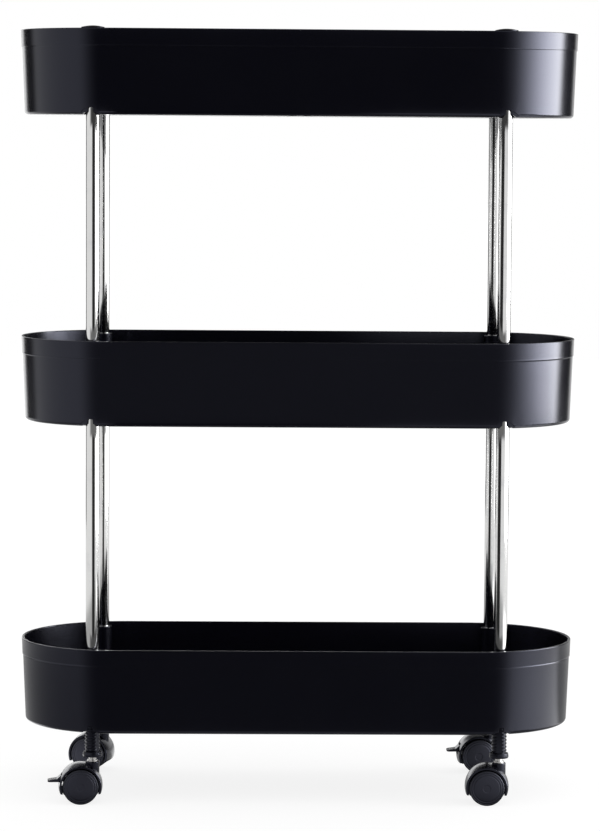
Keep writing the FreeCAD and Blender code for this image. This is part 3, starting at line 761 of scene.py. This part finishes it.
# Heights on a wheel are counted along the axle from its middle.
WHEEL_RADIUS = 19.15 * MM
WHEEL_INNER = 4.6 * MM     # heights of the tread's inner and outer sides
WHEEL_OUTER = 18.0 * MM
WHEEL_FACE = 16.95 * MM    # radius of the domed face
WHEEL_RISE = 1.15 * MM     # how far the domed face stands out
WHEEL_DISC = 3.8 * MM      # thickness between the recess and the face
WHEEL_RIM = 15.55 * MM     # inner radius of the rim
WHEEL_HUB = 5.5 * MM       # outer radius of the hub
WHEEL_BORE = (2.06 * MM, 15.6 * MM)     # radius, and height of its end
WHEEL_ROUND = 1.4 * MM     # rounding of the tread's outer edge
TREAD_ROUND = 0.5 * MM     # rounding of its inner edge
RIM_ROUND = 0.4 * MM
RECESS_ROUND = 0.8 * MM
BORE_ROUND = 0.2 * MM
FACE_GROOVE_DEPTH = 0.35 * MM
FACE_GROOVE_WIDTH = 0.5 * MM
DISC_GROOVE = 14.6 * MM    # radius of the groove between the disc and the ring round it
DISH_RADIUS = 4.2 * MM     # shallow round dish in the middle of the face
DISH_DEPTH = 0.25 * MM
DISH_EDGE = 0.15 * MM
FACE_STEPS = 48
WHEEL_STEPS = 128


def make_wheel(corner, hand, side):
    """One wheel turned about the axle: recess and hub, tread, and a domed face.

    The face has a fine groove where it meets the tread, one more inside it, and a shallow dish
    in its middle. The grooves are bells of the radius. The dish's depth is one over one plus e
    to the power of how many edge widths the radius is past its own.
    """
    node = f"{corner}_wheel_{hand}"
    bore, bore_end = WHEEL_BORE
    recess = WHEEL_OUTER - WHEEL_DISC
    inside = rounded([
        (0, bore_end, 0),
        (bore, bore_end, 0),
        (bore, WHEEL_INNER, BORE_ROUND),
        (WHEEL_HUB, WHEEL_INNER, RIM_ROUND),
        (WHEEL_HUB, recess, RECESS_ROUND),
        (WHEEL_RIM, recess, RECESS_ROUND),
        (WHEEL_RIM, WHEEL_INNER, RIM_ROUND),
        (WHEEL_RADIUS, WHEEL_INNER, TREAD_ROUND),
        (WHEEL_RADIUS, WHEEL_OUTER, WHEEL_ROUND),
        (WHEEL_FACE, WHEEL_OUTER, 0),
    ], steps=5)
    face = crown(WHEEL_FACE, WHEEL_OUTER, WHEEL_RISE, steps=FACE_STEPS)
    radius = face[:, 0]
    groove = bell(radius, WHEEL_FACE, FACE_GROOVE_WIDTH) + bell(radius, DISC_GROOVE, FACE_GROOVE_WIDTH)
    dish = 1 / (1 + np.exp((radius - DISH_RADIUS) / DISH_EDGE))
    face[:, 1] -= FACE_GROOVE_DEPTH * groove + DISH_DEPTH * dish
    inside[-1, 1] -= FACE_GROOVE_DEPTH
    surface = turned(np.concatenate((inside, face[1:])), segments=WHEEL_STEPS)
    place = axle_place(corner)
    piece = mesh_piece(node + "_tread", [laid_along_axle(surface, side)], place)
    mark_disc(piece, place)
    add_piece(piece, "wheel_plastic", node + "_body", node)


def mark_disc(piece, place):
    """Writes 1 on the points of the outer face, and 0 on its grooves, which take painted shade, and on the rest of
    the wheel.
    """
    count = len(piece.data.vertices)
    points = np.empty(count * 3)
    piece.data.vertices.foreach_get("co", points)
    turn = np.array(place.inverted())
    x, y, z = (points.reshape(-1, 3) @ turn[:3, :3].T + turn[:3, 3]).T
    radius = np.hypot(x, z)
    groove_shade = np.abs(radius - DISC_GROOVE) < FACE_GROOVE_WIDTH
    inside = (radius < WHEEL_FACE - FACE_GROOVE_WIDTH / 2) & ~groove_shade
    outside = np.abs(y) > WHEEL_OUTER - WHEEL_RISE / 2
    values = piece.data.attributes.new(DISC_VALUE, "FLOAT", "POINT")
    values.data.foreach_set("value", (inside & outside).astype(float))


PEDAL_HEEL = (-25.7 * MM, 7.3 * MM)    # top of the pedal from its heel to its tip, from the axle
PEDAL_TIP = (-35.8 * MM, 5.8 * MM)
RIB_SHARES = (0.22, 0.42, 0.62)        # places of the ribs from heel to tip
RIB_SIZE = (0.45 * MM, 5.0 * MM, 0.35 * MM)     # half of a rib's width, length and height
RIB_STEPS = (25, 16)                   # along a rib and round it
RIB_POWER = 6                          # the higher, the blunter its ends


def make_pedal_ribs(corner):
    """Three grip ribs across the pedal, half sunk in its top.

    Each is a bar along the axle's direction: an oval section whose size is the root of one less
    the power of the way along, so that its ends are round.
    """
    steps_along, steps_around = RIB_STEPS
    along = np.linspace(-1, 1, steps_along)[:, None]
    around = np.linspace(0, 2 * np.pi, steps_around, endpoint=False)[None, :]
    size = (1 - along ** RIB_POWER) ** (1 / RIB_POWER)
    half_width, reach, height = RIB_SIZE
    heel, tip = np.array(PEDAL_HEEL), np.array(PEDAL_TIP)
    ribs = []
    for share in RIB_SHARES:
        middle = heel + (tip - heel) * share
        points = place_grid(
            middle[0] + half_width * np.cos(around) * size,
            reach * along,
            middle[1] + height * np.sin(around) * size,
        )
        ribs.append((points, faces_of_grid(*points.shape[:2], closed=True)))
    piece = mesh_piece(corner + "_pedal_ribs", ribs, axle_place(corner))
    add_piece(piece, "hood_plastic", corner + "_brake")


def make_pieces():
    """Every piece that stands for a CAD node or is added to one."""
    for corner in BRAKED:
        make_pedal_ribs(corner)
    for corner in CORNERS:
        make_tube(corner + "_lower_post")
        make_tube(corner + "_upper_post")
        make_cap(corner)
        make_stud(corner)
        make_wheel(corner, "left", 1)
        make_wheel(corner, "right", -1)


# ---------------------------------------------------------------- floor, light and camera
# Directions in the studio are degrees about Z, counted from the front towards the right.

FLOOR_SIZE = 14.0
FLOOR_GREY = (0.7, 0.7, 0.7, 1.0)             # what lights the object from below
FLOOR_SEEN_GREY = (0.24, 0.24, 0.24, 1.0)     # the part of the seen floor that takes a shadow
FLOOR_GLOW = 0.84
WORLD_LIGHT = 0.75         # strength of the white world on matt surfaces


def seen_directly(tree):
    """1 for rays from the camera, from shiny surfaces and through glass, and 0 for the others."""
    ray = add_node(tree, "ShaderNodeLightPath").outputs
    seen = math_node(tree, "MAXIMUM", ray["Is Camera Ray"], ray["Is Glossy Ray"])
    return math_node(tree, "MAXIMUM", seen, ray["Is Transmission Ray"])


def studio_piece(name, points, material_name):
    """A sheet from a grid of places, and the empty tree of its own material."""
    mesh = bpy.data.meshes.new(name)
    mesh.from_pydata(points.reshape(-1, 3).tolist(), [], faces_of_grid(*points.shape[:2]).tolist())
    piece = bpy.data.objects.new(name, mesh)
    bpy.context.scene.collection.objects.link(piece)
    material = bpy.data.materials.new(material_name)
    material.use_nodes = True
    material.node_tree.nodes.clear()
    mesh.materials.append(material)
    return piece, material.node_tree


def mix_surface(tree, share, first, second):
    """Makes the material's surface from two shaders, of which the second has the share."""
    inputs = {0: share, 1: first.outputs[0], 2: second.outputs[0]}
    mix = add_node(tree, "ShaderNodeMixShader", inputs)
    add_node(tree, "ShaderNodeOutputMaterial", {"Surface": mix.outputs[0]})


def make_floor():
    """A wide pale floor that shows white and keeps a soft shadow."""
    ends = np.array((-FLOOR_SIZE / 2, FLOOR_SIZE / 2))
    floor, tree = studio_piece("floor", place_grid(ends[None, :], ends[:, None], 0.0), "pale_floor")
    plain = add_node(tree, "ShaderNodeBsdfDiffuse", {"Color": FLOOR_GREY})
    grey = add_node(tree, "ShaderNodeBsdfDiffuse", {"Color": FLOOR_SEEN_GREY})
    glow = add_node(tree, "ShaderNodeEmission", {"Strength": FLOOR_GLOW})
    bright = add_node(tree, "ShaderNodeAddShader", {0: grey.outputs[0], 1: glow.outputs[0]})
    mix_surface(tree, seen_directly(tree), plain, bright)


def make_world():
    """White to the camera, to shiny surfaces and through glass; a plain soft light on the rest."""
    world = bpy.data.worlds.new("soft_studio")
    bpy.context.scene.world = world
    world.use_nodes = True
    tree = world.node_tree
    strength = spread(tree, seen_directly(tree), 0.0, 1.0, WORLD_LIGHT, 1.0)
    tree.links.new(strength, tree.nodes["Background"].inputs["Strength"])
    tree.nodes["Background"].inputs["Color"].default_value = (1.0, 1.0, 1.0, 1.0)


# ---------------------------------------------------------------- what the shiny surfaces reflect
# Each sheet has a strength, which is how bright it shows, and a cover, which is how much of
# what lies behind it is hidden.

FLAG_DARKNESS = 0.03       # strength of a dark sheet

ARC_STEPS = 40
ARC_SHEETS = {
    # name: strength, directions of its sides, soft angle at each, distance, foot and top
    # dark on both sides of the back
    "left_gap": (FLAG_DARKNESS, (-147.0, -110.0), (6.0, 12.0), 3.0, (0.0, 2.6)),
    "right_gap": (FLAG_DARKNESS, (112.0, 150.0), (6.0, 8.0), 3.0, (0.0, 2.6)),
    # the window on the right
    "window_sheet": (15.5, (41.0, 115.0), (50.0, 11.0), 3.2, (0.0, 2.4)),
    # a bright wall behind, with a dark sheet before its upper right part
    "back_sheet": (1.7, (172.0, 226.0), (16.0, 12.0), 3.3, (0.05, 2.6)),
    "back_flag": (0.1, (158.0, 200.0), (6.0, 6.0), 3.0, (0.6, 2.6)),
}

STRIP_PLACE = -0.15        # the strips stand in front of the trays, at this Y
STRIP_REACH = 0.295        # from the middle to each end
STRIP_SOFT_END = 0.06
STRIP_SOFT_EDGE = 0.008
FRONT_STRIPS = {
    # name: strength, foot and top
    "strip_bottom": (0.1, 0.060, 0.170),
    "strip_middle": (0.2, 0.401, 0.507),
    "strip_top": (0.06, 0.739, 0.845),
}

# The panel stands aslant in front, from the left side to just past the middle.
PANEL_START = (-0.26, -0.25)
PANEL_END = (0.12, -0.52)
PANEL_HEIGHT = 0.86
PANEL_SOFT = 0.05

FLOOR_SHEET_SOFT = 0.15
FLOOR_SHEET_SOFT_ANGLE = 0.15      # radians, at the side with the higher direction
FLOOR_ARC_STEPS = 73
# Painted pools of light on the floor, seen only in reflections: the window's light to the right, and a patch
# behind on the left that brightens the hoods' crowns.
FLOOR_SHEETS = {
    # name: strength, directions of its sides, near and far distance, lift off the floor
    "window_floor": (2.6, (34.0, 112.0), (0.42, 1.2), 0.4 * MM),
    "crown_floor": (2.2, (-172.0, -84.0), (0.24, 0.5), 0.6 * MM),
}

# Round patches on the floor: strength, radius of the full cover, radius where it ends, lift.
# painted shade on the floor round the cart
FLOOR_SHADE = (0.5, 1.0, 1.3, 0.2 * MM)
# painted contact shadow under each wheel
CONTACT_SHADE = (FLAG_DARKNESS, 24.0 * MM, 52.0 * MM, 0.8 * MM)

CEILING_HEIGHT = 2.6
CEILING_REACH = 1.0        # from the middle to each side; the outer half fades out
CEILING_ENDS = (-1.1, 3.0)


def show_only_to_reflections(piece):
    """Hides a studio piece from every ray but the ones that shiny surfaces send out."""
    for ray in ("camera", "diffuse", "transmission", "volume_scatter", "shadow"):
        setattr(piece, "visible_" + ray, False)


def studio_sheet(name, points, strength, cover_of):
    """A glowing sheet that only reflections see, as strong as its light and as opaque as its cover.

    points is a grid of places. cover_of makes the cover in shader nodes, from the tree, the
    place laid flat on the floor, and its height.
    """
    # each sheet's material glows; on the floor patches it paints light and shade
    sheet, tree = studio_piece(name, points, name + "_glow_sheet")
    place = add_node(tree, "ShaderNodeTexCoord").outputs["Object"]
    flat = vector_node(tree, "MULTIPLY", place, (1.0, 1.0, 0.0))["Vector"]
    cover = cover_of(tree, flat, split(tree, place)["Z"])
    clear = add_node(tree, "ShaderNodeBsdfTransparent")
    glow = add_node(tree, "ShaderNodeEmission", {"Strength": strength})
    mix_surface(tree, cover, clear, glow)
    show_only_to_reflections(sheet)


def length_along(tree, flat, way):
    """How far a flat place lies along a flat direction, from the middle."""
    return vector_node(tree, "DOT_PRODUCT", flat, (*way, 0.0))["Value"]


def beside(tree, flat):
    """How far a flat place lies from the middle, to the left or the right."""
    return math_node(tree, "ABSOLUTE", length_along(tree, flat, (1.0, 0.0)))


def turned_from(tree, flat, middle):
    """The angle of a flat place about Z, counted in radians from a middle direction."""
    sine, cosine = math.sin(middle), math.cos(middle)
    across = length_along(tree, flat, (cosine, sine))
    ahead = length_along(tree, flat, (sine, -cosine))
    return math_node(tree, "ARCTAN2", across, ahead)


def fading_out(tree, value, start, end):
    """1 up to a start and 0 from an end."""
    return spread(tree, value, start, end, 1.0, 0.0)


def between(tree, value, low, high, soft_low, soft_high):
    """1 between two values and 0 outside them, with a soft stretch inside each."""
    rise = spread(tree, value, low, low + soft_low)
    fall = fading_out(tree, value, high - soft_high, high)
    return math_node(tree, "MULTIPLY", rise, fall)


def ring_grid(sides, distance, height, steps):
    """Places on arcs about the middle.

    X is the distance times the direction's sine, and Y minus the distance times its cosine.
    """
    direction = np.radians(np.linspace(*sides, steps))[:, None]
    return place_grid(distance * np.sin(direction), -distance * np.cos(direction), height)


def half_and_middle(sides):
    """Half the angle between two directions, and the direction halfway, in radians."""
    start, end = sides
    return math.radians(end - start) / 2, math.radians(start + end) / 2


def make_arc_sheet(name, strength, sides, soft, distance, heights):
    """An upright sheet bent round the object, whose sides fade out over the two soft angles."""
    points = ring_grid(sides, distance, np.array(heights)[None, :], ARC_STEPS)
    half, middle = half_and_middle(sides)
    soft_start, soft_end = np.radians(soft).tolist()

    def cover_of(tree, flat, _):
        return between(tree, turned_from(tree, flat, middle), -half, half, soft_start, soft_end)

    studio_sheet(name, points, strength, cover_of)


def make_front_strip(name, strength, low, high):
    """A dark strip in front of one tray's wall, whose ends and upper and lower edges fade out."""
    ends = np.array((-STRIP_REACH, STRIP_REACH))[:, None]
    points = place_grid(ends, STRIP_PLACE, np.array((low, high))[None, :])

    def cover_of(tree, flat, height):
        length = fading_out(tree, beside(tree, flat), STRIP_REACH - STRIP_SOFT_END, STRIP_REACH)
        rise = between(tree, height, low, high, STRIP_SOFT_EDGE, STRIP_SOFT_EDGE)
        return math_node(tree, "MULTIPLY", length, rise)

    studio_sheet(name, points, strength, cover_of)


def make_front_panel():
    """A dark upright panel from one place on the floor to another, whose sides fade out."""
    start, end = np.array(PANEL_START), np.array(PANEL_END)
    length = float(np.linalg.norm(end - start))
    way = (end - start) / length
    share = np.array((0.0, length))[:, None]
    heights = np.array((0.0, PANEL_HEIGHT))[None, :]
    points = place_grid(start[0] + way[0] * share, start[1] + way[1] * share, heights)

    def cover_of(tree, flat, _):
        run = math_node(tree, "SUBTRACT", length_along(tree, flat, way.tolist()), float(start @ way))
        return between(tree, run, 0.0, length, PANEL_SOFT, PANEL_SOFT)

    studio_sheet("front_panel", points, FLAG_DARKNESS, cover_of)


def make_floor_sheet(name, strength, sides, distances, lift):
    """A painted pool of light on the floor, seen only in reflections: a ring sector whose sides all fade out."""
    points = ring_grid(sides, np.array(distances)[None, :], lift, FLOOR_ARC_STEPS)
    half, middle = half_and_middle(sides)
    near, far = distances

    def cover_of(tree, flat, _):
        angle = turned_from(tree, flat, middle)
        width = between(tree, angle, -half, half, half, FLOOR_SHEET_SOFT_ANGLE)
        away = vector_node(tree, "LENGTH", flat)["Value"]
        nearest = near - FLOOR_SHEET_SOFT
        depth = between(tree, away, nearest, far, 2 * FLOOR_SHEET_SOFT, FLOOR_SHEET_SOFT)
        return math_node(tree, "MULTIPLY", width, depth)

    studio_sheet(name, points, strength, cover_of)


def make_floor_patch(name, centre, strength, core, reach, lift):
    """A round patch of painted shade on the floor, as grey as its strength, seen only in reflections, that fades
    out round its core.
    """
    ends = np.array((-reach, reach))
    points = place_grid(centre.x + ends[:, None], centre.y + ends[None, :], lift)

    def cover_of(tree, flat, _):
        away = vector_node(tree, "DISTANCE", flat, (centre.x, centre.y, 0.0))["Value"]
        return fading_out(tree, away, core, reach)

    studio_sheet(name, points, strength, cover_of)


def make_ceiling():
    """A dark sheet over the cart, seen only in reflections, whose sides fade out."""
    sides = np.array((-CEILING_REACH, CEILING_REACH))[:, None]
    points = place_grid(sides, np.array(CEILING_ENDS)[None, :], CEILING_HEIGHT)

    def cover_of(tree, flat, _):
        return fading_out(tree, beside(tree, flat), CEILING_REACH / 2, CEILING_REACH)

    studio_sheet("ceiling", points, FLAG_DARKNESS, cover_of)


def make_reflections():
    """Everything that only the shiny surfaces see."""
    make_front_panel()
    for name, values in FRONT_STRIPS.items():
        make_front_strip(name, *values)
    for name, values in ARC_SHEETS.items():
        make_arc_sheet(name, *values)
    make_ceiling()
    # painted shade on the floor, and painted contact shadows under the wheels
    make_floor_patch("floor_shade", Vector((0.0, 0.0, 0.0)), *FLOOR_SHADE)
    for corner in CORNERS:
        make_floor_patch(corner + "_contact_shadow", axle_place(corner).translation, *CONTACT_SHADE)
    # painted pools of light on the floor
    for name, values in FLOOR_SHEETS.items():
        make_floor_sheet(name, *values)


# ---------------------------------------------------------------- window light and camera

WINDOW_DIRECTION = math.radians(88.0)
WINDOW_DISTANCE = 2.2
WINDOW_AIM = 0.9           # height that the window faces
WINDOW_SIZE = (1.2, 1.6)
WINDOW_RADIANCE = 3.0


def make_window_light():
    """The window's light on matt surfaces: an area light that faces the middle of the object."""
    low, high = CAD_BOX
    target = Vector(((low.x + high.x) / 2, (low.y + high.y) / 2, WINDOW_AIM))
    way = Vector((math.sin(WINDOW_DIRECTION), -math.cos(WINDOW_DIRECTION), 0))
    light = bpy.data.lights.new("window", "AREA")
    light.shape = "RECTANGLE"
    light.size, light.size_y = WINDOW_SIZE
    light.energy = WINDOW_RADIANCE * math.pi * light.size * light.size_y
    lamp = bpy.data.objects.new("window", light)
    lamp.location = target + way * WINDOW_DISTANCE
    lamp.rotation_euler = (-way).to_track_quat("-Z", "Y").to_euler()
    lamp.visible_camera = False
    lamp.visible_glossy = False
    bpy.context.scene.collection.objects.link(lamp)


CAMERA_PLACE = (-0.0020, -3.6475, 0.7275)
CAMERA_YAW = math.radians(1.1117)
CAMERA_PITCH = math.radians(-4.8892)
CAMERA_ROLL = math.radians(0.4264)
CAMERA_SENSOR = 36.0
CAMERA_LENS = 143.28
CAMERA_SHIFT = -0.0722     # as little as the framing needs


def make_camera():
    """The camera: yaw turns it to the right, pitch tilts it up and roll leans its right side up."""
    ahead = Vector((
        math.sin(CAMERA_YAW) * math.cos(CAMERA_PITCH),
        math.cos(CAMERA_YAW) * math.cos(CAMERA_PITCH),
        math.sin(CAMERA_PITCH),
    ))
    level = Vector((math.cos(CAMERA_YAW), -math.sin(CAMERA_YAW), 0.0))
    upright = level.cross(ahead)
    right = level * math.cos(CAMERA_ROLL) + upright * math.sin(CAMERA_ROLL)
    up = upright * math.cos(CAMERA_ROLL) - level * math.sin(CAMERA_ROLL)
    turn = Matrix((right, up, -ahead)).transposed().to_4x4()
    data = bpy.data.cameras.new("camera")
    data.sensor_width = CAMERA_SENSOR
    data.lens = CAMERA_LENS
    data.shift_x = CAMERA_SHIFT
    camera = bpy.data.objects.new("camera", data)
    camera.matrix_world = Matrix.Translation(CAMERA_PLACE) @ turn
    bpy.context.scene.collection.objects.link(camera)
    bpy.context.scene.camera = camera


finish_cad_nodes()
make_pieces()
make_floor()
make_world()
make_reflections()
make_window_light()
make_camera()
bpy.context.scene.view_settings.view_transform = "Standard"
